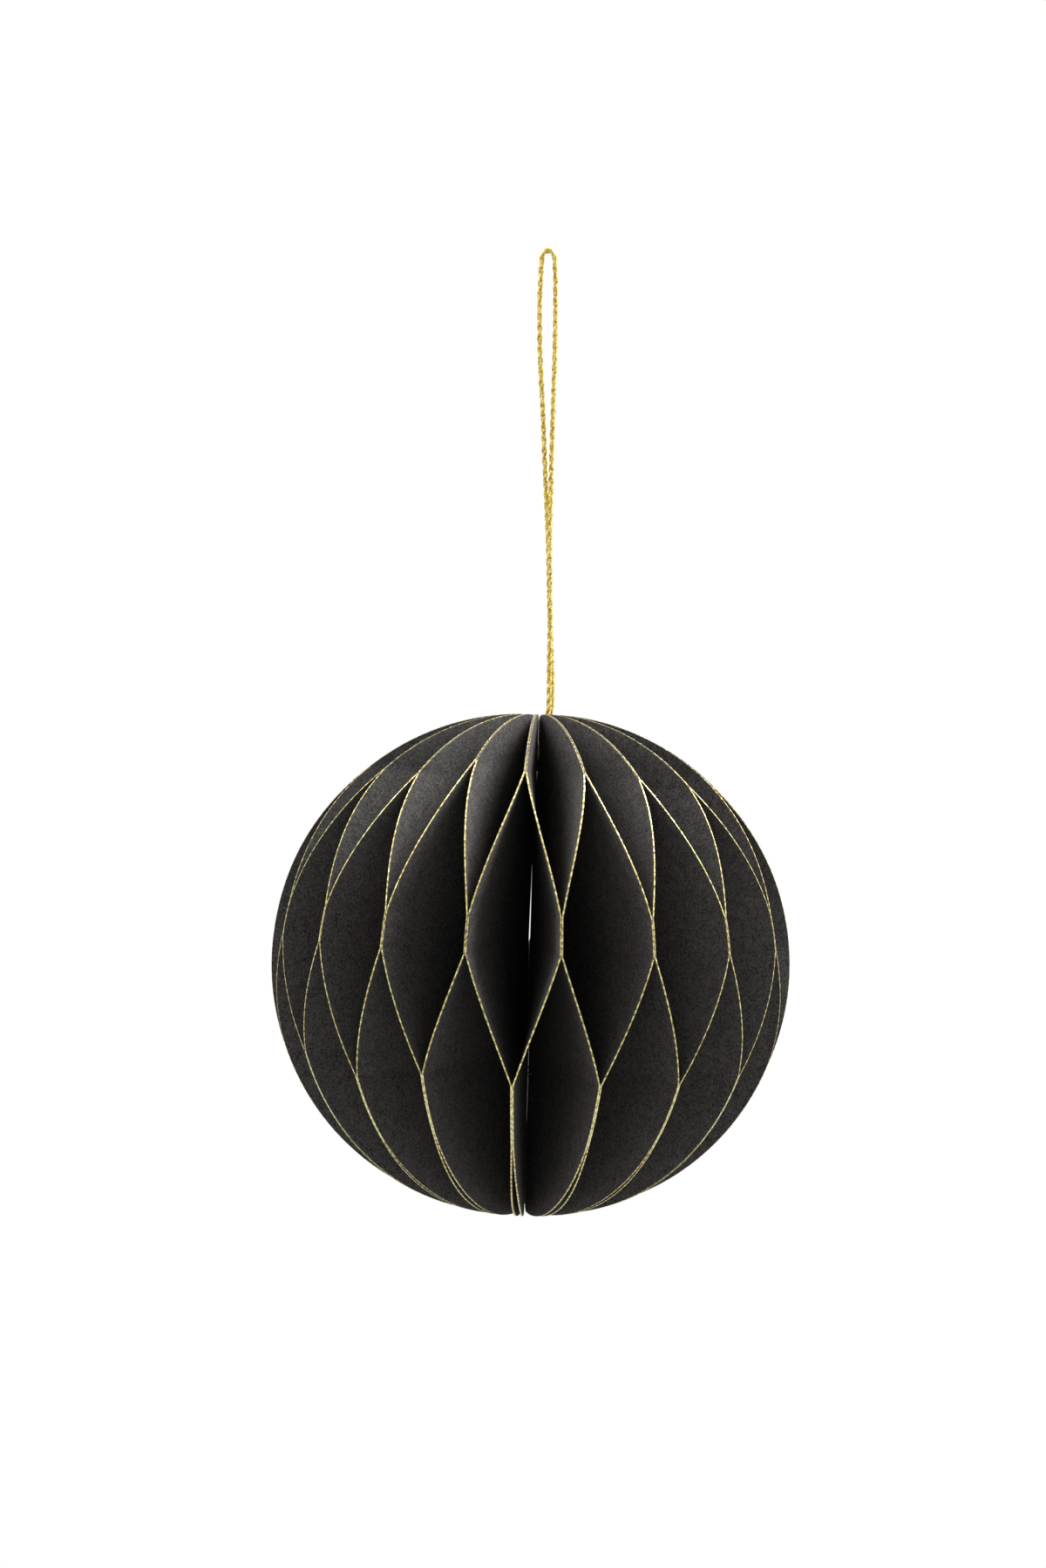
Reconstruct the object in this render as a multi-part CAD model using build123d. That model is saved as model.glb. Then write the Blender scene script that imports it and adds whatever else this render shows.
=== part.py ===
from build123d import *
import math
import os

# Hanging ornament of folded paper: half-disc leaves stand round a hollow core like the pages of an
# open book. Next to the poles and in a low strip the leaves are glued in pairs, and in a strip near
# the waist each leaf is glued to its other neighbour, so that the cells between them bulge open.
# Millimetres, Z up along the ball's axis, origin at the centre of the ball, front towards -Y.
# Azimuths run from the front (-Y) towards +X.

# Paper leaves
leaf_radius = 40.0  # radius of the half disc that each leaf is cut from
spine_trim = 0.7  # the straight spine edge is cut this far past the disc's centre
paper = 0.27  # thickness of the card
glue = 0.02  # thickness of the glue film between two leaves
pair_count = 19  # pairs of leaves round the ball
spine_gap = 0.09  # free space beside each spine edge round the core

# Glue strips, as heights above the centre of the ball
crown_bottom = 30.2  # the pairs are glued from here up to the top pole
waist_top = 10.1
waist_bottom = 4.4
low_top = -14.1
low_bottom = -23.7
foot_opening = 2.1  # degrees by which each leaf leaves its pair at the bottom pole
first_pair = -3.2  # azimuth of pair 0 in degrees

# Bends between the strips: number of straight steps, then how steeply the bend leaves its upper
# strip and reaches its lower one, 0 being tangent to the strip and 1 the mean slope of the bend
upper_bend = (3, 1.25, 0.6)
middle_bend = (2, 0.9, 1.0)
foot_bend = (2, 0.2, 1.6)

# How far the hand-glued strips stray from even spacing, pair by pair
crown_stray = [-0.2, -0.4, -1.0, 0.3, 1.6, 2.6, 2.4, 2.3, 1.9, 1.8,
               1.5, 1.6, 1.4, 1.9, 1.7, 2.0, 1.6, 1.8, 1.1]  # degrees
waist_stray = [-0.2, 0.3, 1.1, 2.0, 2.6, 2.7, 2.4, 2.0, 1.6, 1.3,
               1.2, 1.3, 1.5, 1.7, 1.8, 1.6, 0.9, 0.0, -0.4]  # degrees
low_stray = [0.1, 0.0, 0.3, 1.5, 2.2, 2.4, 2.5, 2.1, 2.0, 1.6,
             1.7, 1.3, 1.4, 1.5, 1.9, 1.7, 1.2, 0.5, -0.6]  # degrees
crown_rise = [0.4, 0.3, -0.3, -1.3, 0.5, -0.6, 0.8, 0.0, -0.9, 0.6,
              -0.2, 1.0, -0.5, 0.3, -0.8, 0.6, 0.2, -0.3, 2.0]  # millimetres
low_rise = [-0.2, 0.0, -0.3, -0.2, 0.5, -0.4, 0.6, -0.7, 0.2, 0.4,
            -0.5, 0.7, -0.2, -0.6, 0.3, 0.5, 1.4, -0.9, 0.8]  # millimetres

# Spine edge of a leaf
spine_clip = 0.8  # corner cut off at each pole
scoop_depth = 0.7  # shallow hollow at the waist, where the spines spread
scoop_half_height = 12.0
scoop_height = 0.5

# Binding threads, sewn through every leaf
stitch_margin = 1.1  # distance of the stitches from the spine edge
thread_diameter = 0.4
thread_clearance = 0.1
thread_heights = {"upper_binding_thread": 23.0, "lower_binding_thread": -17.6}

# Hanging cord and its knot
cord_diameter = 0.9
knot_grip = 0.3  # how much wider the knot is than the neck of the core, on the radius
knot_clearance = 0.3
knot_depth = 6.6  # centre of the knot below the top pole
knot_flat = 1.9  # height above the knot's centre at which the two strands leave it
upright_run = 1.4  # straight start of each strand on the knot
corner_share = 0.45  # share of the shorter run that the rounding of a corner takes up

core_radius = pair_count * (paper + glue + spine_gap) / math.pi  # spine edges stand side by side here
leaf_offset = core_radius - spine_trim
thread_ring = core_radius + stitch_margin
knot_radius = core_radius + knot_grip
knot_height = leaf_radius - knot_depth
cord_foot = knot_flat - knot_depth

# Corners of the cord's route, the height measured from the top pole
cord_route = [
    (0.50, 0.47, cord_foot),
    (0.50, 0.47, cord_foot + upright_run),
    (2.00, 0.46, 0.5),
    (2.02, 0.42, 7.0),
    (1.40, 0.48, 17.5),
    (0.75, 0.44, 29.5),
    (0.05, 0.32, 38.0),
    (-0.60, 0.12, 48.0),
    (-1.50, 0.03, 58.5),
    (-1.76, 0.0, 66.5),
    (-1.68, 0.0, 71.5),
    (-1.58, 0.0, 74.85),
    (0.42, 0.0, 74.85),
    (0.66, 0.0, 71.5),
    (0.88, 0.0, 65.5),
    (1.00, -0.06, 56.0),
    (0.94, -0.18, 46.0),
    (0.98, -0.34, 37.5),
    (1.04, -0.47, 27.0),
    (1.34, -0.48, 17.0),
    (1.60, -0.46, 7.0),
    (1.52, -0.46, 0.5),
    (0.30, -0.47, cord_foot + upright_run),
    (0.30, -0.47, cord_foot),
]

overshoot = 1.0  # how far the sheets reach past the poles before the leaves are cut out
beyond = leaf_radius + leaf_offset + 3 * overshoot  # past the outer edge of every leaf
cutter_reach = beyond / 3  # wider to either side than any leaf swings
pair_angle = 360 / pair_count


def listed(values, pair):
    """Entry of a list of strays for a pair, the list starting over when the ball has more pairs."""
    return values[pair % len(values)]


def outward(azimuth):
    """Horizontal unit direction from the axis at an azimuth in degrees."""
    return Vector(math.sin(math.radians(azimuth)), -math.cos(math.radians(azimuth)), 0)


def section(height, azimuth, side):
    """Level section of a leaf whose middle lies beside the half plane at this azimuth."""
    plane = Plane(origin=(0, 0, height), x_dir=outward(azimuth), z_dir=(0, 0, 1))
    return plane * Pos(beyond / 2, side * (paper + glue) / 2) * Rectangle(beyond, paper)


def eased(share, start_slope, end_slope):
    """Smooth step from 0 to 1 with a given slope at each end."""
    start = share**3 - 2 * share**2 + share
    end = share**3 - share**2
    return start_slope * start + end_slope * end + 3 * share**2 - 2 * share**3


def bend(upper, lower, shape):
    """Stretch of paper between two glue strips, each given as height, azimuth and side."""
    steps, start_slope, end_slope = shape
    levels = []
    for step in range(steps + 1):
        share = step / steps
        turned = eased(share, start_slope, end_slope)
        height = upper[0] + (lower[0] - upper[0]) * share
        azimuth = upper[1] + (lower[1] - upper[1]) * turned
        side = upper[2] + (lower[2] - upper[2]) * turned
        levels.append(section(height, azimuth, side))
    return loft(levels)


def leaf_outline():
    """Flat cut shape of a leaf, x out from the axis and y up."""
    disc = Pos(leaf_offset, 0) * Circle(leaf_radius)
    outline = disc & Pos(core_radius + beyond / 2, 0) * Rectangle(beyond, 2 * beyond)
    corner = spine_clip * math.sqrt(2)
    for pole in (-leaf_radius, leaf_radius):
        outline -= Pos(core_radius, pole) * Rot(0, 0, 45) * Rectangle(corner, corner)
    scoop_radius = (scoop_half_height**2 + scoop_depth**2) / (2 * scoop_depth)
    outline -= Pos(core_radius + scoop_depth - scoop_radius, scoop_height) * Circle(scoop_radius)
    outline -= Pos(0, knot_height) * Circle(knot_radius + knot_clearance)
    for height in thread_heights.values():
        outline -= Pos(thread_ring, height) * Circle(thread_diameter / 2 + thread_clearance)
    return outline


def paper_leaf(pair, side):
    """Leaf on the side (+1 or -1) of a pair that faces growing or falling azimuth."""
    waist_pair = pair if side > 0 else (pair - 1) % pair_count
    even = first_pair + pair * pair_angle
    crown_azimuth = even + listed(crown_stray, pair)
    waist_azimuth = even + side * pair_angle / 2 + listed(waist_stray, waist_pair)
    low_azimuth = even + listed(low_stray, pair)
    crown = (crown_bottom + listed(crown_rise, pair), crown_azimuth, side)
    upper_waist = (waist_top, waist_azimuth, -side)
    lower_waist = (waist_bottom, waist_azimuth, -side)
    upper_low = (low_top + listed(low_rise, pair), low_azimuth, side)
    lower_low = (low_bottom + listed(low_rise, pair), low_azimuth, side)
    foot = (-leaf_radius - overshoot, low_azimuth + side * foot_opening, side)

    sheet = extrude(section(*crown), amount=leaf_radius + overshoot - crown[0])
    sheet += bend(crown, upper_waist, upper_bend)
    sheet += extrude(section(*lower_waist), amount=waist_top - waist_bottom)
    sheet += bend(lower_waist, upper_low, middle_bend)
    sheet += extrude(section(*lower_low), amount=upper_low[0] - lower_low[0])
    sheet += bend(lower_low, foot, foot_bend)

    middle = (crown_azimuth + waist_azimuth) / 2
    upright = Plane(origin=(0, 0, 0), x_dir=outward(middle), z_dir=-outward(middle + 90))
    cutter = extrude(upright * leaf_outline(), amount=cutter_reach, both=True)
    return sheet & cutter


def binding_thread(height):
    """Ring of sewing thread through one row of holes."""
    return Pos(0, 0, height) * Torus(thread_ring, thread_diameter / 2)


def cord_knot():
    """Knot below the neck of the core, flat where the strands leave it."""
    ball = Sphere(knot_radius)
    below = Pos(0, 0, knot_flat - knot_radius) * Box(2 * knot_radius, 2 * knot_radius, 2 * knot_radius)
    ball &= below
    return Pos(0, 0, knot_height) * ball


def hanging_cord():
    """One length of cord, up from the knot, round the top of the loop and back."""
    route = [Vector(x, y, leaf_radius + height) for x, y, height in cord_route]
    radii = []
    for before, corner, after in zip(route, route[1:], route[2:]):
        turn = math.radians((corner - before).get_angle(after - corner))
        shorter = min((corner - before).length, (after - corner).length)
        radii.append(corner_share * shorter / math.tan(turn / 2))
    path = FilletPolyline(*route, radius=radii)
    print("cord radii", [round(radius, 1) for radius in radii])
    start = Plane(origin=path @ 0, z_dir=path % 0)
    cord = sweep(start * Circle(cord_diameter / 2), path=path)
    expected = math.pi * cord_diameter**2 / 4 * path.length
    print("cord length", round(path.length, 1))
    print("cord volume", round(cord.volume, 2), "expected", round(expected, 2))
    return cord


os.makedirs("parts", exist_ok=True)
number = 0
for pair in range(pair_count):
    for side in (-1, 1):
        number += 1
        export_step(paper_leaf(pair, side), f"parts/paper_leaf_{number:02d}.step")
for name, height in thread_heights.items():
    export_step(binding_thread(height), f"parts/{name}.step")
export_step(cord_knot(), "parts/cord_knot.step")
export_step(hanging_cord(), "parts/hanging_cord.step")
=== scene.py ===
import math

import bmesh
import bpy
import numpy as np
from mathutils import Matrix, Vector


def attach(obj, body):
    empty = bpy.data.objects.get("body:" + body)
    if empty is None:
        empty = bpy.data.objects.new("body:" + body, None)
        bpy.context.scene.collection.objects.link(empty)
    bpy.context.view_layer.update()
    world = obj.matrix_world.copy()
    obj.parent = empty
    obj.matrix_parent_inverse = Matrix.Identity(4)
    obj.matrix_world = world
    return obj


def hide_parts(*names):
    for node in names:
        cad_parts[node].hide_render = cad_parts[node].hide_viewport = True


# Hanging ball of dark card leaves with glittering gold rims, on a loop of gold cord.
# Metres, Z up along the ball's axis, origin at the ball's centre, azimuths from the front (-Y) to +X.

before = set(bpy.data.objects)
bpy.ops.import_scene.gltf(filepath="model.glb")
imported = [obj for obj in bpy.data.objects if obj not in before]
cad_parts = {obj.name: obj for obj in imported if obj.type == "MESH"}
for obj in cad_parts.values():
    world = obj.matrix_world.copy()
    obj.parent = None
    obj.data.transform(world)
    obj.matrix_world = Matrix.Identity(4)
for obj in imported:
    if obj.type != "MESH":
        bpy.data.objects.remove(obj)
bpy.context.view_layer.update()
print("frame loaded with", len(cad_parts), "nodes")

mm = 0.001

# The ball's leaves: sizes in millimetres and degrees, as they were cut and glued
ball = {
    "leafRadius": 40.0,
    "spineTrim": 0.7,  # the spine edge is cut this far past the half disc's centre
    "paper": 0.27,  # thickness of the card
    "glue": 0.02,  # thickness of the glue between two leaves
    "pairCount": 19,
    "spineGap": 0.09,  # free space beside each spine round the core
    "crownBottom": 30.2,  # the pairs are glued from here up to the pole
    "waistTop": 10.1,
    "waistBottom": 4.4,
    "lowTop": -14.1,
    "lowBottom": -23.7,
    "footOpening": 2.1,  # how far each leaf leaves its pair at the bottom pole
    "overshoot": 1.0,  # how far past the bottom pole its last bend would end
    "firstPair": -3.2,  # azimuth of pair 0
    # slopes at both ends of each bend, 1 being its mean slope
    "upperBend": (1.25, 0.6),
    "middleBend": (0.9, 1.0),
    "footBend": (0.2, 1.6),
    "spineClip": 0.8,  # corner cut off the spine at each pole
    "scoopDepth": 0.55,  # shallow hollow of the spine at the waist
    "scoopHalfHeight": 12.0,
    "scoopHeight": 0.5,
    "knotHole": 2.898,  # radius of the hole for the knot
    "knotHeight": 33.4,
    # how far each pair's strips stray from even spacing in degrees, and up in millimetres
    "crownStray": [-0.2, -0.4, -1.0, 0.3, 1.6, 2.6, 2.4, 2.3, 1.9, 1.8,
                   1.5, 1.6, 1.4, 1.9, 1.7, 2.0, 1.6, 1.8, 1.1],
    "waistStray": [-0.2, 0.3, 1.1, 2.0, 2.6, 2.7, 2.4, 2.0, 1.6, 1.3,
                   1.2, 1.3, 1.5, 1.7, 1.8, 1.6, 0.9, 0.0, -0.4],
    "lowStray": [0.1, 0.0, 0.3, 1.5, 2.2, 2.4, 2.5, 2.1, 2.0, 1.6,
                 1.7, 1.3, 1.4, 1.5, 1.9, 1.7, 1.2, 0.5, -0.6],
    "crownRise": [0.4, 0.3, -0.3, -1.3, 0.5, -0.6, 0.8, 0.0, -0.9, 0.6,
                  -0.2, 1.0, -0.5, 0.3, -0.8, 0.6, 0.2, -0.3, 2.0],
    "lowRise": [-0.2, 0.0, -0.3, -0.2, 0.5, -0.4, 0.6, -0.7, 0.2, 0.4,
                -0.5, 0.7, -0.2, -0.6, 0.3, 0.5, 1.4, -0.9, 0.8],
}
coreRadius = ball["pairCount"] * (ball["paper"] + ball["glue"] + ball["spineGap"]) / math.pi
leafOffset = coreRadius - ball["spineTrim"]
pairAngle = 360 / ball["pairCount"]

# The card of a leaf as it is meshed
sheet = {
    "rowStep": 1.6,  # degrees of the round rim between two rows
    "fewestRows": 3,  # between two ends of glue strips
    "columns": 12,
    "endGap": 0.16,  # the sheet stops this far below each pole
    "creaseAngle": 14,  # degrees from which an edge looks sharp
}

# The glitter along the curved cut edge
rim = {
    "height": 0.04,  # how far the glitter stands out from the card's edge
    "overhang": -0.01,  # it stops this far short of the card's faces
    "skirt": 0.02,  # how far it reaches in over the face
    "step": 0.2,  # length of one flake along the rim
    "endGap": 0.1,  # it starts and stops this far from each pole
    "stray": 0.3,  # share of a flake's length that the rows of flakes stray by
    "roughness": 0.018,  # how far the flakes' corners stray
    "riseShares": (-1, 0.2),  # shares of it that they stray by in and out
    "widthShares": (-0.5, 0.5),  # and to both sides
    # section of the glitter: share of the half width, and share of its height above the card's edge
    "across": (1.0, 1.0, 0.66, 0.0, -0.66, -1.0, -1.0),
    "over": (0.3, 0.85, 1.0, 0.85, 0.3),
    "dashLength": 1.15,
    "dashDrift": 3.0,  # radians by which the dashes run early or late
    "dashRun": 8,  # flakes between two turns of the drift
    "gluedGap": 0.04,  # leaves this near each other are glued
    "stripHeights": (-20.0, 7.0, 33.0),  # middles of the low, waist and crown glue strips
    "gluedLightAndShade": (0.24, -0.08, -0.1),  # painted light and shade on the glued flakes in each strip: brighter at the low strip, darker at the waist and crown
    "farWidth": (0.6, 0.5, 0.0),  # share of the edge that they cover away from the other leaf
    "nearWidth": (1.0, 1.0, 0.6),  # and beside it
    "sidePaintedShade": (-0.5, -0.28, 0.0, 0.0, -0.28, -0.5, -0.5),  # painted shade: flakes darker and browner where they turn to the faces
    "tone": 0.46,
    "dashTone": 0.2,
    "flakeSpread": 0.2,  # part of chance in the tone
    "seed": 19,
}


def easedStep(share, startSlope, endSlope):
    # cubic in the share from 0 to 1 that has the two given slopes at its ends
    start = share**3 - 2 * share**2 + share
    end = share**3 - share**2
    return startSlope * start + endSlope * end + 3 * share**2 - 2 * share**3


def leafStations(pair, side):
    # poles and ends of the glue strips from the top down: height, azimuth and the leaf's side of its strip
    waistPair = pair if side > 0 else (pair - 1) % ball["pairCount"]
    even = ball["firstPair"] + pair * pairAngle
    crown = even + ball["crownStray"][pair]
    waist = even + side * pairAngle / 2 + ball["waistStray"][waistPair]
    low = even + ball["lowStray"][pair]
    return [
        (ball["leafRadius"], crown, side),
        (ball["crownBottom"] + ball["crownRise"][pair], crown, side),
        (ball["waistTop"], waist, -side),
        (ball["waistBottom"], waist, -side),
        (ball["lowTop"] + ball["lowRise"][pair], low, side),
        (ball["lowBottom"] + ball["lowRise"][pair], low, side),
        (-ball["leafRadius"] - ball["overshoot"], low + side * ball["footOpening"], side),
    ]


def leafLine(pair, side, height):
    # azimuth in degrees and side share of a leaf at each height: level in the strips, eased between them
    stations = leafStations(pair, side)
    level = (1, 1)
    slopes = [level, ball["upperBend"], level, ball["middleBend"], level, ball["footBend"]]
    azimuth = np.full_like(height, stations[0][1])
    lean = np.full_like(height, stations[0][2])
    for upper, lower, ends in zip(stations, stations[1:], slopes):
        share = np.clip((upper[0] - height) / (upper[0] - lower[0]), 0, 1)
        turned = easedStep(share, *ends)
        azimuth += (lower[1] - upper[1]) * turned
        lean += (lower[2] - upper[2]) * turned
    return azimuth, lean


def placeOnLeaf(azimuth, lean, reach, aside, height):
    # point at a distance from the axis along its azimuth, moved sideways to its leaf and then by "aside"
    angle = np.radians(azimuth)
    sideways = lean * (ball["paper"] + ball["glue"]) / 2 + aside
    x = np.sin(angle) * reach + np.cos(angle) * sideways
    y = -np.cos(angle) * reach + np.sin(angle) * sideways
    return np.stack([x, y, np.broadcast_to(height, x.shape)], axis=-1) * mm


def outerReach(height, radius):
    # distance from the axis of the round rim: the half disc's centre stands off the axis
    return leafOffset + np.sqrt(np.maximum(radius**2 - height**2, 0))


def innerReach(height):
    # distance from the axis of the spine edge: the farthest out of the straight edge, the clipped corners,
    # the round scoop and the knot's hole
    clip = coreRadius + ball["spineClip"] - (ball["leafRadius"] - np.abs(height))
    scoopRadius = (ball["scoopHalfHeight"]**2 + ball["scoopDepth"]**2) / (2 * ball["scoopDepth"])
    scoopInside = np.maximum(scoopRadius**2 - (height - ball["scoopHeight"])**2, 0)
    scoop = coreRadius + ball["scoopDepth"] - scoopRadius + np.sqrt(scoopInside)
    hole = np.sqrt(np.maximum(ball["knotHole"]**2 - (height - ball["knotHeight"])**2, 0))
    return np.maximum.reduce([clip, scoop, hole, np.full_like(height, coreRadius)])


def rimHeights(pair, side, endHeight, step):
    # heights from pole to pole, evenly spread along the round rim between the ends of the glue strips
    stops = [endHeight]
    stops += [station[0] for station in leafStations(pair, side)[1:-1]]
    stops += [-endHeight]
    angles = np.degrees(np.arcsin(np.array(stops) / ball["leafRadius"]))
    rows = [angles[:1]]
    for upper, lower in zip(angles, angles[1:]):
        count = max(sheet["fewestRows"], round((upper - lower) / step))
        rows.append(np.linspace(upper, lower, count + 1)[1:])
    return ball["leafRadius"] * np.sin(np.radians(np.concatenate(rows)))


def tubeFaces(rows, around):
    # four-cornered faces of a tube with rows of "around" vertices, open at both ends
    row = np.arange(rows - 1)[:, None] * around
    here = np.arange(around)[None, :]
    ahead = (here + 1) % around
    faces = np.stack([row + here, row + around + here, row + around + ahead, row + ahead], axis=-1)
    return faces.reshape(-1, 4)


def endFaces(first, around, flip):
    # four-cornered faces that close a flat tube's end between its front and its back columns
    half = around // 2
    left = np.arange(half - 1)
    front, back = first + left, first + around - 1 - left
    faces = np.stack([front, front + 1, back - 1, back], axis=-1)
    return faces[:, ::-1] if flip else faces


def makeMesh(name, points, faces, smooth):
    # new object at the origin from arrays of points and of four-cornered faces
    mesh = bpy.data.meshes.new(name)
    mesh.vertices.add(len(points))
    mesh.vertices.foreach_set("co", np.ascontiguousarray(points, dtype=np.float32).ravel())
    mesh.loops.add(faces.size)
    mesh.loops.foreach_set("vertex_index", np.ascontiguousarray(faces, dtype=np.int32).ravel())
    mesh.polygons.add(len(faces))
    mesh.polygons.foreach_set("loop_start", np.arange(len(faces), dtype=np.int32) * faces.shape[1])
    mesh.update(calc_edges=True)
    mesh.validate()
    mesh.polygons.foreach_set("use_smooth", np.full(len(mesh.polygons), smooth))
    piece = bpy.data.objects.new(name, mesh)
    bpy.context.scene.collection.objects.link(piece)
    return piece


def wander(count, step, swing, rng):
    # random values up to a swing either way, one every few places and straight between them
    knots = np.arange(0, count + step, step)
    return np.interp(np.arange(count), knots, rng.uniform(-swing, swing, len(knots)))


def faceValues(piece, name, values):
    # one number for each face, which its material reads
    held = piece.data.attributes.new(name, "FLOAT", "FACE")
    held.data.foreach_set("value", np.ascontiguousarray(values, dtype=np.float32).ravel())


def closeEnds(piece):
    # fills the open ends of the tubes of a piece
    work = bmesh.new()
    work.from_mesh(piece.data)
    openEdges = [edge for edge in work.edges if edge.is_boundary]
    bmesh.ops.holes_fill(work, edges=openEdges, sides=0)
    bmesh.ops.recalc_face_normals(work, faces=work.faces)
    work.to_mesh(piece.data)
    work.free()


# Shader helpers

def addNode(tree, kind, inputs=None, **settings):
    # new shader node with its settings made, and each input linked to a socket or set to a value
    node = tree.nodes.new("ShaderNode" + kind)
    for key, value in settings.items():
        setattr(node, key, value)
    for key, value in (inputs or {}).items():
        if isinstance(value, bpy.types.NodeSocket):
            tree.links.new(value, node.inputs[key])
        else:
            node.inputs[key].default_value = value
    return node


def blendColours(tree, share, first, second, how="MIX"):
    # mix of two colours, each a socket or a fixed colour
    node = addNode(tree, "Mix", {"Factor": share}, data_type="RGBA", blend_type=how)
    firstColour, secondColour, result = node.inputs[6], node.inputs[7], node.outputs[2]
    for socket, value in ((firstColour, first), (secondColour, second)):
        if isinstance(value, bpy.types.NodeSocket):
            tree.links.new(value, socket)
        else:
            socket.default_value = value
    return result


def rampOf(tree, factor, stops):
    # colour ramp whose stops are given as place and colour
    node = addNode(tree, "ValToRGB", {"Fac": factor})
    elements = node.color_ramp.elements
    while len(elements) < len(stops):
        elements.new(0.5)
    for element, (place, colour) in zip(elements, stops):
        element.position = place
        element.color = (*colour, 1)
    return node.outputs["Color"]


def bumpFrom(tree, shader, height, finish):
    # fine relief on a shader
    bump = addNode(tree, "Bump", {
        "Height": height, "Strength": finish["bumpStrength"], "Distance": finish["bumpDistance"]})
    tree.links.new(bump.outputs["Normal"], shader.inputs["Normal"])


def roughnessFrom(tree, shader, value, finish):
    # roughness between the finish's two, by a value from 0 to 1
    lowest, highest = finish["roughness"]
    spread = addNode(tree, "MapRange", {"Value": value, "To Min": lowest, "To Max": highest})
    tree.links.new(spread.outputs["Result"], shader.inputs["Roughness"])


def newGroup(name, inputs, outputs):
    # empty node group with its sockets
    tree = bpy.data.node_groups.new(name, "ShaderNodeTree")
    for label, kind, value in inputs:
        socket = tree.interface.new_socket(label, in_out="INPUT", socket_type=kind)
        socket.default_value = value
    for label, kind in outputs:
        tree.interface.new_socket(label, in_out="OUTPUT", socket_type=kind)
    return tree, tree.nodes.new("NodeGroupInput"), tree.nodes.new("NodeGroupOutput")


def newMaterial(name):
    # material with one shader
    material = bpy.data.materials.new(name)
    material.use_nodes = True
    tree = material.node_tree
    tree.nodes.clear()
    shader = addNode(tree, "BsdfPrincipled")
    output = addNode(tree, "OutputMaterial")
    tree.links.new(shader.outputs[0], output.inputs["Surface"])
    return material, tree, shader


# Materials

paperFinish = {
    "colour": (0.104, 0.099, 0.094, 1),
    "grainScale": 3600,
    "mottleScale": 700,
    "cloudScale": 45,
    "layerDetail": (2.0, 3.0, 2.0),  # of the grain, the mottling and the clouds
    "layerWeights": (3.0, 0.8, 0.45),  # how strongly each one changes the tone
    "roughness": (0.86, 1.0),
    "shine": 0.03,
    "bumpStrength": 0.35,
    "bumpDistance": 0.00004,
}
glitterFinish = {
    # tones of the flakes: brown for painted shade, gold, pale yellow and a few white for painted glints
    "tones": [
        (0.0, (0.14, 0.09, 0.05)), (0.22, (0.34, 0.25, 0.12)), (0.42, (0.60, 0.52, 0.18)),
        (0.62, (0.82, 0.75, 0.25)), (0.84, (0.92, 0.88, 0.46)), (1.0, (1.0, 0.98, 0.92))],
    "roughness": (0.55, 0.3),
    "metallic": 0.6,
}
yarnFinish = {
    # tones by the lay of the film on the core, with painted shade in the grooves between its strips and
    # painted highlight on their crests, and by its crumpling
    "layAndShadeTones": [
        (0.0, (0.24, 0.13, 0.01)), (0.35, (0.52, 0.35, 0.03)), (0.6, (0.74, 0.55, 0.08)),
        (0.85, (0.88, 0.74, 0.25)), (1.0, (0.95, 0.90, 0.60))],
    "filmTones": [
        (0.38, (0.26, 0.14, 0.01)), (0.46, (0.62, 0.42, 0.03)), (0.55, (0.84, 0.63, 0.10)),
        (0.64, (0.97, 0.88, 0.50))],
    "filmScale": 2800.0,
    "filmDetail": 2.0,
    "filmShare": 0.7,  # of the crumpling in the colour
    "knotDarkening": 0.12,  # the knot's yarn keeps this share of the colour
    "roughness": (0.3, 0.55),
    "metallic": 0.45,
    "bumpStrength": 0.5,
    "bumpDistance": 0.00005,
}
threadFinish = {
    "tones": [(0.3, (0.02, 0.02, 0.02)), (0.7, (0.07, 0.065, 0.06))],
    "scale": 5000.0,
    "detail": 2.0,
    "roughness": 0.6,
    "bumpStrength": 0.6,
    "bumpDistance": 0.00004,
}


def cardGrainGroup():
    # tone of a matt dyed card: fine grain, mottling and broad clouds on object coordinates, each less its
    # middle value and times its weight, are added up to a gain on the colour
    tree, given, out = newGroup(
        "cardGrain",
        [("Colour", "NodeSocketColor", paperFinish["colour"]),
         ("Grain Scale", "NodeSocketFloat", paperFinish["grainScale"]),
         ("Mottle Scale", "NodeSocketFloat", paperFinish["mottleScale"]),
         ("Cloud Scale", "NodeSocketFloat", paperFinish["cloudScale"])],
        [("Colour", "NodeSocketColor"), ("Roughness", "NodeSocketFloat"), ("Height", "NodeSocketFloat")])
    place = addNode(tree, "TexCoord").outputs["Object"]
    layers = []
    for scale, detail in zip(("Grain Scale", "Mottle Scale", "Cloud Scale"), paperFinish["layerDetail"]):
        noise = addNode(tree, "TexNoise", {"Vector": place, "Scale": given.outputs[scale], "Detail": detail})
        layers.append(noise.outputs["Fac"])
    total = None
    for layer, weight in zip(layers, paperFinish["layerWeights"]):
        shifted = addNode(tree, "Math", {0: layer, 1: 0.5}, operation="SUBTRACT").outputs[0]
        part = addNode(tree, "Math", {0: shifted, 1: weight}, operation="MULTIPLY").outputs[0]
        if total is None:
            total = part
        else:
            total = addNode(tree, "Math", {0: total, 1: part}, operation="ADD").outputs[0]
    gain = addNode(tree, "Math", {0: total, 1: 1.0}, operation="ADD").outputs[0]
    toned = addNode(tree, "VectorMath", {0: given.outputs["Colour"], "Scale": gain}, operation="SCALE")
    tree.links.new(toned.outputs["Vector"], out.inputs["Colour"])
    grain, mottle = layers[:2]
    roughnessFrom(tree, out, mottle, paperFinish)
    tree.links.new(grain, out.inputs["Height"])
    return tree


def cardMaterial():
    material, tree, shader = newMaterial("charcoalCard")
    grain = addNode(tree, "Group", node_tree=cardGrainGroup())
    tree.links.new(grain.outputs["Colour"], shader.inputs["Base Color"])
    tree.links.new(grain.outputs["Roughness"], shader.inputs["Roughness"])
    bumpFrom(tree, shader, grain.outputs["Height"], paperFinish)
    shader.inputs["Specular IOR Level"].default_value = paperFinish["shine"]
    return material


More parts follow.
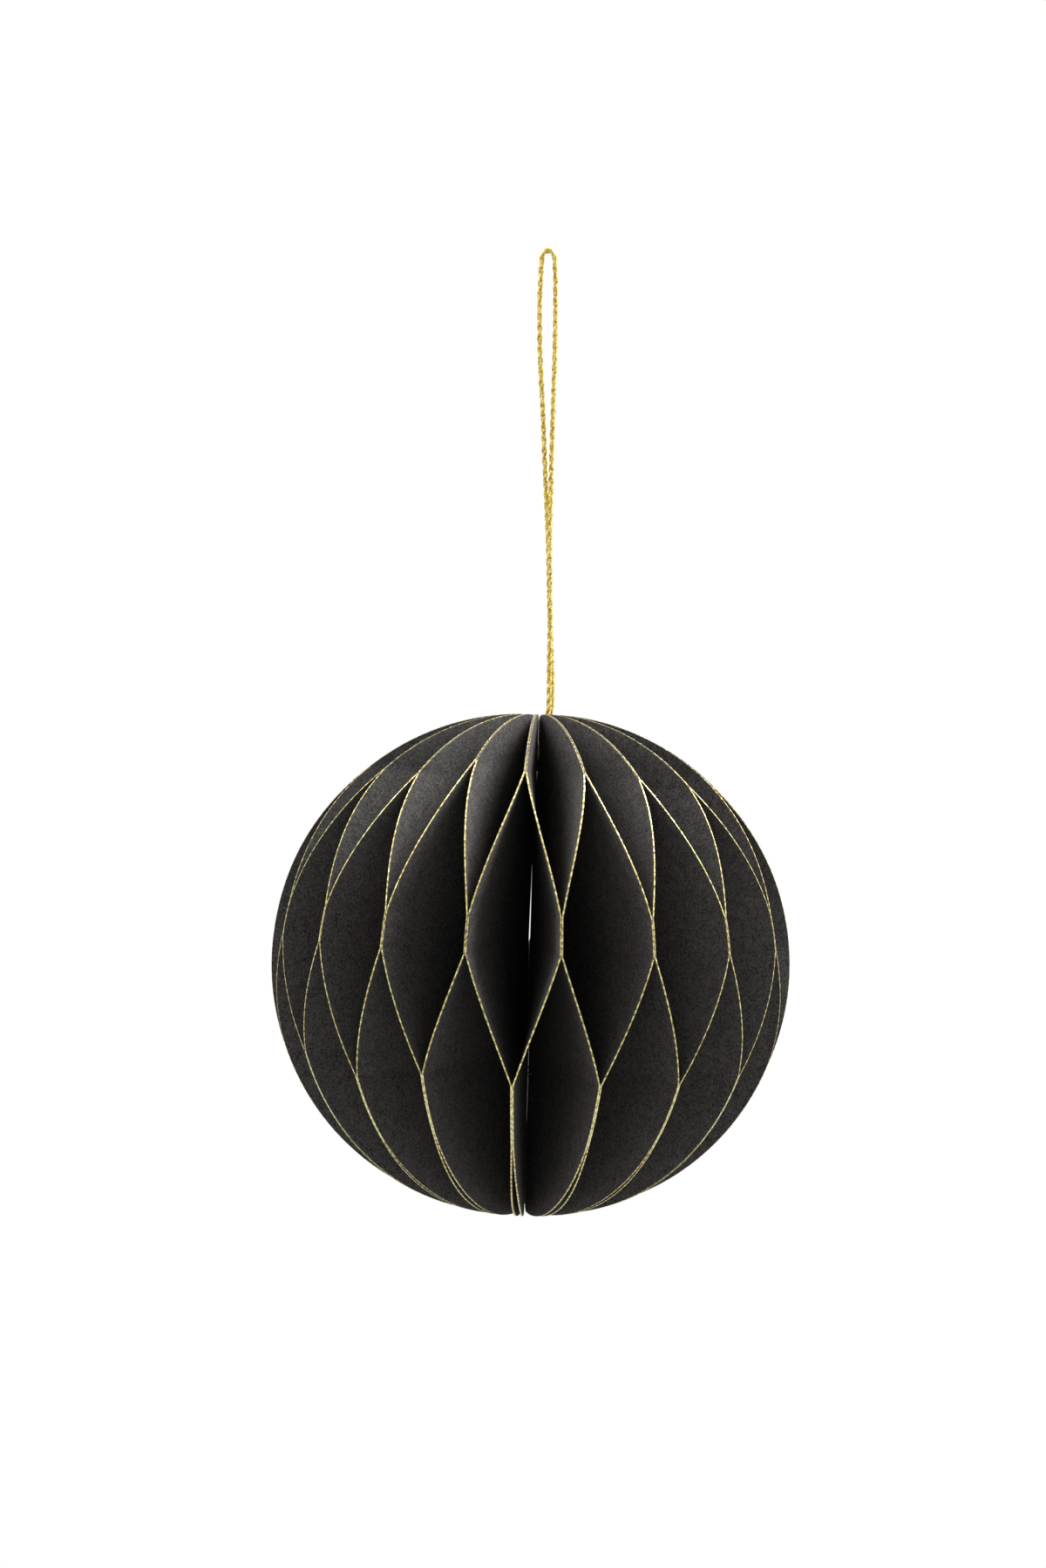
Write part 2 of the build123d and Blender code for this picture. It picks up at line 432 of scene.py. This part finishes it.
def glitterMaterial():
    # each flake has its own tone, and the bright ones are smoother
    material, tree, shader = newMaterial("goldGlitter")
    flake = addNode(tree, "Attribute", attribute_name="flake").outputs["Fac"]
    tree.links.new(rampOf(tree, flake, glitterFinish["tones"]), shader.inputs["Base Color"])
    roughnessFrom(tree, shader, flake, glitterFinish)
    shader.inputs["Metallic"].default_value = glitterFinish["metallic"]
    return material


def cordMaterial(name, shade):
    # gold film spun round a pale core: tone from the film's lay with painted shade in the grooves and painted
    # highlight on the crests, broken up by noise and darkened to a given share
    material, tree, shader = newMaterial(name)
    layAndShade = addNode(tree, "Attribute", attribute_name="layAndShade").outputs["Fac"]
    place = addNode(tree, "TexCoord").outputs["Object"]
    noise = addNode(tree, "TexNoise", {
        "Vector": place, "Scale": yarnFinish["filmScale"], "Detail": yarnFinish["filmDetail"]}).outputs["Fac"]
    colour = rampOf(tree, layAndShade, yarnFinish["layAndShadeTones"])
    film = rampOf(tree, noise, yarnFinish["filmTones"])
    mottled = blendColours(tree, yarnFinish["filmShare"], colour, film)
    shaded = blendColours(tree, 1.0, mottled, (shade, shade, shade, 1), "MULTIPLY")
    tree.links.new(shaded, shader.inputs["Base Color"])
    roughnessFrom(tree, shader, noise, yarnFinish)
    bumpFrom(tree, shader, noise, yarnFinish)
    shader.inputs["Metallic"].default_value = yarnFinish["metallic"]
    return material


def threadMaterial():
    material, tree, shader = newMaterial("waxedThread")
    place = addNode(tree, "TexCoord").outputs["Object"]
    noise = addNode(tree, "TexNoise", {
        "Vector": place, "Scale": threadFinish["scale"], "Detail": threadFinish["detail"]}).outputs["Fac"]
    tree.links.new(rampOf(tree, noise, threadFinish["tones"]), shader.inputs["Base Color"])
    bumpFrom(tree, shader, noise, threadFinish)
    shader.inputs["Roughness"].default_value = threadFinish["roughness"]
    return material


materials = {
    "card": cardMaterial(),
    "glitter": glitterMaterial(),
    "yarn": cordMaterial("goldYarn", 1.0),
    "darkenedYarn": cordMaterial("darkenedYarn", yarnFinish["knotDarkening"]),
    "thread": threadMaterial(),
}
print("materials made")


# Cord: two plies of gold yarn twisted together

cord = {
    "diameter": 0.9,
    "plyRadius": 0.315,
    "plyOffset": 0.13,  # distance of each ply's middle from the cord's middle
    "pitch": 3.6,  # length of one full turn of the twist
    "ringStep": 0.14,
    "around": 15,
    "lobes": 5,  # strips of film on each ply
    "lobeDepth": 0.13,
    "lobePitch": 1.3,
    "spread": 0.03,  # uneven thickness
    # tone of the yarn: its middle, the lobes' painted highlight on their crests and painted shade in the
    # grooves, a slow drift with its run in rings, and chance
    "tone": 0.5,
    "lobeHighlightAndShade": 0.2,
    "driftTone": 0.3,
    "driftRun": 5,
    "toneSpread": 0.18,
    "seed": 7,
    "order": 3,
    "smoothness": 40,  # points read from each stretch of the line
    # corners of the route, the height measured from the ball's top pole
    "foot": -4.7,
    "uprightRun": 1.4,
    "route": [
        (2.30, 0.46, 0.3), (2.08, 0.42, 7.0), (1.36, 0.48, 17.5), (0.75, 0.44, 29.5),
        (0.05, 0.32, 38.0), (-0.60, 0.12, 48.0), (-1.50, 0.03, 58.5), (-1.76, 0.0, 66.5),
        (-1.68, 0.0, 71.5), (-1.58, 0.0, 74.85), (0.42, 0.0, 74.85), (0.66, 0.0, 71.5),
        (0.88, 0.0, 65.5), (1.00, -0.06, 56.0), (0.94, -0.18, 46.0), (0.98, -0.34, 37.5),
        (1.04, -0.47, 27.0), (1.50, -0.48, 17.0), (1.60, -0.46, 7.0), (1.82, -0.46, 0.3)],
    "firstFoot": (0.85, 0.47),
    "lastFoot": (0.75, -0.47),
}


def cordPath():
    # smooth line through the route, read from its NURBS spline
    foot, run = cord["foot"], cord["foot"] + cord["uprightRun"]
    corners = [(*cord["firstFoot"], foot), (*cord["firstFoot"], run)]
    corners += cord["route"]
    corners += [(*cord["lastFoot"], run), (*cord["lastFoot"], foot)]
    curve = bpy.data.curves.new("cordRoute", "CURVE")
    curve.dimensions = "3D"
    spline = curve.splines.new("NURBS")
    spline.points.add(len(corners) - 1)
    for point, (x, y, z) in zip(spline.points, corners):
        point.co = (x * mm, y * mm, (ball["leafRadius"] + z) * mm, 1)
    spline.order_u = cord["order"]
    spline.use_endpoint_u = True
    spline.resolution_u = cord["smoothness"]
    holder = bpy.data.objects.new("cordRoute", curve)
    bpy.context.scene.collection.objects.link(holder)
    bpy.context.view_layer.update()
    line = bpy.data.meshes.new_from_object(holder)
    points = np.empty(len(line.vertices) * 3)
    line.vertices.foreach_get("co", points)
    bpy.data.objects.remove(holder)
    bpy.data.meshes.remove(line)
    return points.reshape(-1, 3)


def evenly(points, step):
    # the same line with its points a fixed distance apart
    length = np.concatenate([[0], np.cumsum(np.linalg.norm(np.diff(points, axis=0), axis=1))])
    places = np.linspace(0, length[-1], int(round(length[-1] / step)) + 1)
    return np.stack([np.interp(places, length, points[:, axis]) for axis in range(3)], axis=1), places


def sideways(points):
    # two directions across a line, the first kept close to the world's Y
    tangent = np.gradient(points, axis=0)
    tangent /= np.linalg.norm(tangent, axis=1, keepdims=True)
    across = np.array([0.0, 1.0, 0.0]) - tangent * tangent[:, 1:2]
    across /= np.linalg.norm(across, axis=1, keepdims=True)
    return across, np.cross(tangent, across)


def yarnTube(points, places, offset, radius, phase, rng):
    # ply whose middle winds round the line once in each pitch; its radius swings with the cosine of its
    # lobes round the section, and the lobes move on by one in each pitch of theirs
    first, second = sideways(points)
    turn = 2 * math.pi * places / (cord["pitch"] * mm) + phase
    middle = points + offset * (np.cos(turn)[:, None] * first + np.sin(turn)[:, None] * second)
    around = np.arange(cord["around"]) / cord["around"] * 2 * math.pi
    lobeTurn = 2 * math.pi * places / (cord["lobePitch"] * mm)
    lobe = np.cos(cord["lobes"] * (around[None, :] - lobeTurn[:, None] / cord["lobes"]))
    uneven = 1 + cord["spread"] * rng.standard_normal((len(points), cord["around"]))
    reach = radius * (1 - cord["lobeDepth"] / 2 + cord["lobeDepth"] / 2 * lobe) * uneven
    ring = np.cos(around)[None, :, None] * first[:, None, :]
    ring = ring + np.sin(around)[None, :, None] * second[:, None, :]
    rings = middle[:, None, :] + reach[:, :, None] * ring
    return rings, lobe


def makeCord():
    # two plies opposite each other round the route's line, toned face by face
    rng = np.random.default_rng(cord["seed"])
    line = cordPath()
    points, places = evenly(line, cord["ringStep"] * mm)
    parts, faces, tones = [], [], []
    count = 0
    for phase in (0, math.pi):
        rings, lobe = yarnTube(points, places, cord["plyOffset"] * mm, cord["plyRadius"] * mm, phase, rng)
        rows, around = lobe.shape
        drift = wander(rows, cord["driftRun"], cord["driftTone"], rng)[:, None]
        # painted highlight on the lobes' crests and painted shade in the grooves between them
        tone = cord["tone"] + cord["lobeHighlightAndShade"] * lobe + drift
        tone = tone + cord["toneSpread"] * rng.standard_normal(lobe.shape)
        parts.append(rings.reshape(-1, 3))
        faces.append(tubeFaces(rows, around) + count)
        tones.append(tone[:-1].ravel())
        count += rows * around
    piece = makeMesh("gold_cord", np.concatenate(parts), np.concatenate(faces), True)
    faceValues(piece, "layAndShade", np.clip(np.concatenate(tones), 0, 1))
    piece.data.materials.append(materials["yarn"])
    closeEnds(piece)
    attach(piece, "root")
    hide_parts("hanging_cord")
    return piece, points


cordPiece, cordLine = makeCord()


# Leaves

def makeLeaf(number, pair, side):
    # grid from the spine edge out to the rim and from pole to pole, once for each face of the card,
    # joined along the edges into one closed sheet
    endHeight = ball["leafRadius"] - sheet["endGap"]
    height = rimHeights(pair, side, endHeight, sheet["rowStep"])
    azimuth, lean = leafLine(pair, side, height)
    inner = innerReach(height)
    outer = outerReach(height, ball["leafRadius"] - rim["height"])
    share = np.linspace(0, 1, sheet["columns"] + 1)
    reach = inner[:, None] + (outer - inner)[:, None] * share[None, :]
    faces = []
    for aside in (-ball["paper"] / 2, ball["paper"] / 2):
        faces.append(placeOnLeaf(azimuth[:, None], lean[:, None], reach, aside, height[:, None]))
    loop = np.concatenate([faces[0], faces[1][:, ::-1]], axis=1)
    rows, around = loop.shape[:2]
    quads = np.concatenate([
        tubeFaces(rows, around),
        endFaces(0, around, False),
        endFaces((rows - 1) * around, around, True)])
    piece = makeMesh(f"card_leaf_{number:02d}", loop.reshape(-1, 3), quads, True)
    piece.data.set_sharp_from_angle(angle=math.radians(sheet["creaseAngle"]))
    piece.data.materials.append(materials["card"])
    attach(piece, "root")
    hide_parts(f"paper_leaf_{number:02d}")


def gapBeside(pair, side, otherPair, otherSide, height, reach):
    # free space between two leaves at their rims: the arc between their azimuths and the step between
    # their sides of the strips, less the thickness of one sheet
    azimuth, lean = leafLine(pair, side, height)
    otherAzimuth, otherLean = leafLine(otherPair, otherSide, height)
    turn = (otherAzimuth - azimuth + 180) % 360 - 180
    apart = np.radians(turn) * reach + (otherLean - lean) * (ball["paper"] + ball["glue"]) / 2
    return np.maximum(np.abs(apart) - ball["paper"], ball["glue"])


def makeRim(number, pair, side, rng):
    # glitter on the round edge of a leaf: a closed section carried along the edge with its corners strayed;
    # a flake's tone is the sum of a middle tone, dashes along the edge, the glued strips' painted light and
    # shade, its side's painted shade and chance
    endHeight = ball["leafRadius"] - rim["endGap"]
    base = ball["leafRadius"] - rim["height"]
    degrees = math.degrees(rim["step"] / ball["leafRadius"])
    angle = np.degrees(np.arcsin(endHeight / ball["leafRadius"]))
    count = int(round(2 * angle / degrees))
    stray = rng.uniform(-rim["stray"], rim["stray"], count + 1)
    angles = np.radians(np.linspace(angle, -angle, count + 1) + stray * degrees)
    height = base * np.sin(angles)
    reach = leafOffset + base * np.cos(angles)
    azimuth, lean = leafLine(pair, side, height)
    partnerGap = gapBeside(pair, side, pair, -side, height, reach)
    waistPair = (pair + side) % ball["pairCount"]
    waistGap = gapBeside(pair, side, waistPair, -side, height, reach)
    towardsGrowing = waistGap if side > 0 else partnerGap
    towardsFalling = partnerGap if side > 0 else waistGap
    widest = ball["paper"] / 2 + rim["overhang"]
    far = widest * np.interp(height, rim["stripHeights"], rim["farWidth"])
    near = ball["paper"] / 2 * np.interp(height, rim["stripHeights"], rim["nearWidth"])
    gluedGrowing = towardsGrowing < rim["gluedGap"]
    gluedFalling = towardsFalling < rim["gluedGap"]
    growing = np.where(gluedGrowing, near, np.where(gluedFalling, far, widest))
    falling = np.where(gluedFalling, near, np.where(gluedGrowing, far, widest))
    across = np.array(rim["across"])
    over = np.concatenate([[-rim["skirt"]], np.array(rim["over"]) * rim["height"], [-rim["skirt"]]])
    width = np.where(across > 0, growing[:, None], falling[:, None]) * across[None, :]
    shape = (count + 1, len(across))
    rise = over[None, :] + rim["roughness"] * rng.uniform(*rim["riseShares"], shape)
    width = width + rim["roughness"] * rng.uniform(*rim["widthShares"], shape) * (np.abs(across) < 1)
    out = reach[:, None] + rise * np.cos(angles)[:, None]
    up = height[:, None] + rise * np.sin(angles)[:, None]
    points = placeOnLeaf(azimuth[:, None], lean[:, None], out, width, up)
    rows, around = shape
    quads = tubeFaces(rows, around)
    piece = makeMesh(f"gold_rim_{number:02d}", points.reshape(-1, 3), quads, False)
    along = 0.5 * (angles[:-1] + angles[1:]) * ball["leafRadius"]
    drift = wander(count, rim["dashRun"], rim["dashDrift"], rng)
    dash = np.sin(2 * math.pi * along / rim["dashLength"] + drift)
    glued = np.minimum(partnerGap, waistGap) < rim["gluedGap"]
    # painted light on glued flakes at the low strip, painted shade on them at the waist and crown
    gluedLightAndShade = np.interp(height, rim["stripHeights"], rim["gluedLightAndShade"]) * glued
    # painted light and shade of the glued flakes, plus the painted shade of the side flakes
    paintedLightAndShade = gluedLightAndShade[:-1, None] + np.array(rim["sidePaintedShade"])
    flakes = rim["flakeSpread"] * rng.standard_normal((count, around))
    tone = rim["tone"] + paintedLightAndShade + rim["dashTone"] * dash[:, None] + flakes
    faceValues(piece, "flake", np.clip(tone, 0, 1))
    piece.data.materials.append(materials["glitter"])
    closeEnds(piece)
    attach(piece, "root")


rimRandom = np.random.default_rng(rim["seed"])
number = 0
for pair in range(ball["pairCount"]):
    for side in (-1, 1):
        number += 1
        makeLeaf(number, pair, side)
        makeRim(number, pair, side, rimRandom)
print("leaves made:", number)


# Knot and threads keep their solids, the knot's yarn darkened
finishes = {"cord_knot": "darkenedYarn", "upper_binding_thread": "thread", "lower_binding_thread": "thread"}
for name, finish in finishes.items():
    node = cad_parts[name]
    node.data.materials.clear()
    node.data.materials.append(materials[finish])


# Camera and light

camera = {
    "distance": 0.3330,  # from the ball's centre
    "elevation": 5.204,
    "roll": 1.761,  # tips the ball's top to the right
    "focalPixels": 2352.9,
    "imageSize": (1200, 1798),
    "ballPixel": (608.53, 1102.60),
    "sensor": 36.0,
    "clip": (0.01, 20),
}


def placeCamera():
    lift, roll = math.radians(camera["elevation"]), math.radians(camera["roll"])
    wide, high = camera["imageSize"]
    place = camera["distance"] * Vector((0, -math.cos(lift), math.sin(lift)))
    ahead = -place.normalized()
    right = Vector((1, 0, 0))
    up = right.cross(ahead)
    rolled = Matrix((
        math.cos(roll) * right + math.sin(roll) * up,
        math.cos(roll) * up - math.sin(roll) * right,
        ahead))
    # the view then turns until the ball's centre falls on its pixel
    x, y = camera["ballPixel"]
    focal = camera["focalPixels"]
    seen = Vector(((x - wide / 2) / focal, (high / 2 - y) / focal, 1)).normalized()
    rows = Vector((0, 0, 1)).rotation_difference(seen).to_matrix() @ rolled
    turned = Matrix((rows[0], rows[1], -rows[2])).transposed().to_4x4()
    data = bpy.data.cameras.new("camera")
    data.sensor_width = camera["sensor"]
    data.lens = focal / high * camera["sensor"]
    data.clip_start, data.clip_end = camera["clip"]
    holder = bpy.data.objects.new("camera", data)
    bpy.context.scene.collection.objects.link(holder)
    holder.matrix_world = Matrix.Translation(place) @ turned
    bpy.context.scene.camera = holder


studio = {
    "frontLight": 0.28,  # what the white surroundings give to the object from the front and the back
    "sideLight": 0.8,  # and from both sides
    "lampDistance": 0.9,
    "lampSize": 0.5,
    # azimuth from the front towards the right, elevation, power in watts
    "lamps": {
        "leftLamp": (-80, 25, 1.5),
        "rightLamp": (80, 25, 1.6),
        "leftBackLamp": (-110, 55, 5.0),
        "rightBackLamp": (110, 55, 14.5),
        "frontLamp": (0, -35, 0.7),
    },
}


def lightStudio():
    # the camera, mirrors and clear materials see the surroundings pure white, and the rest gets light that
    # grows from front to side with the square of the direction's X
    world = bpy.data.worlds.new("studio")
    world.use_nodes = True
    tree = world.node_tree
    tree.nodes.clear()
    rays = addNode(tree, "LightPath").outputs
    seen = rays["Is Camera Ray"]
    for kind in ("Is Glossy Ray", "Is Transmission Ray"):
        seen = addNode(tree, "Math", {0: seen, 1: rays[kind]}, operation="MAXIMUM").outputs[0]
    aside = addNode(tree, "SeparateXYZ", {0: addNode(tree, "TexCoord").outputs["Generated"]}).outputs["X"]
    toSide = addNode(tree, "Math", {0: aside, 1: aside}, operation="MULTIPLY").outputs[0]
    given = addNode(tree, "MapRange", {
        "Value": toSide, "To Min": studio["frontLight"], "To Max": studio["sideLight"]})
    strength = addNode(tree, "MapRange", {
        "Value": seen, "To Min": given.outputs["Result"], "To Max": 1.0})
    sky = addNode(tree, "Background", {"Color": (1, 1, 1, 1), "Strength": strength.outputs["Result"]})
    output = addNode(tree, "OutputWorld")
    tree.links.new(sky.outputs[0], output.inputs["Surface"])
    bpy.context.scene.world = world
    for name, (azimuth, elevation, power) in studio["lamps"].items():
        turn, lift = math.radians(azimuth), math.radians(elevation)
        level = math.cos(lift)
        place = Vector((math.sin(turn) * level, -math.cos(turn) * level, math.sin(lift)))
        place *= studio["lampDistance"]
        data = bpy.data.lights.new(name, "AREA")
        data.shape = "DISK"
        data.size = studio["lampSize"]
        data.energy = power
        holder = bpy.data.objects.new(name, data)
        bpy.context.scene.collection.objects.link(holder)
        holder.matrix_world = Matrix.Translation(place) @ place.to_track_quat("Z", "Y").to_matrix().to_4x4()


placeCamera()
lightStudio()
bpy.context.scene.view_settings.view_transform = "Standard"
print("camera and lights placed")
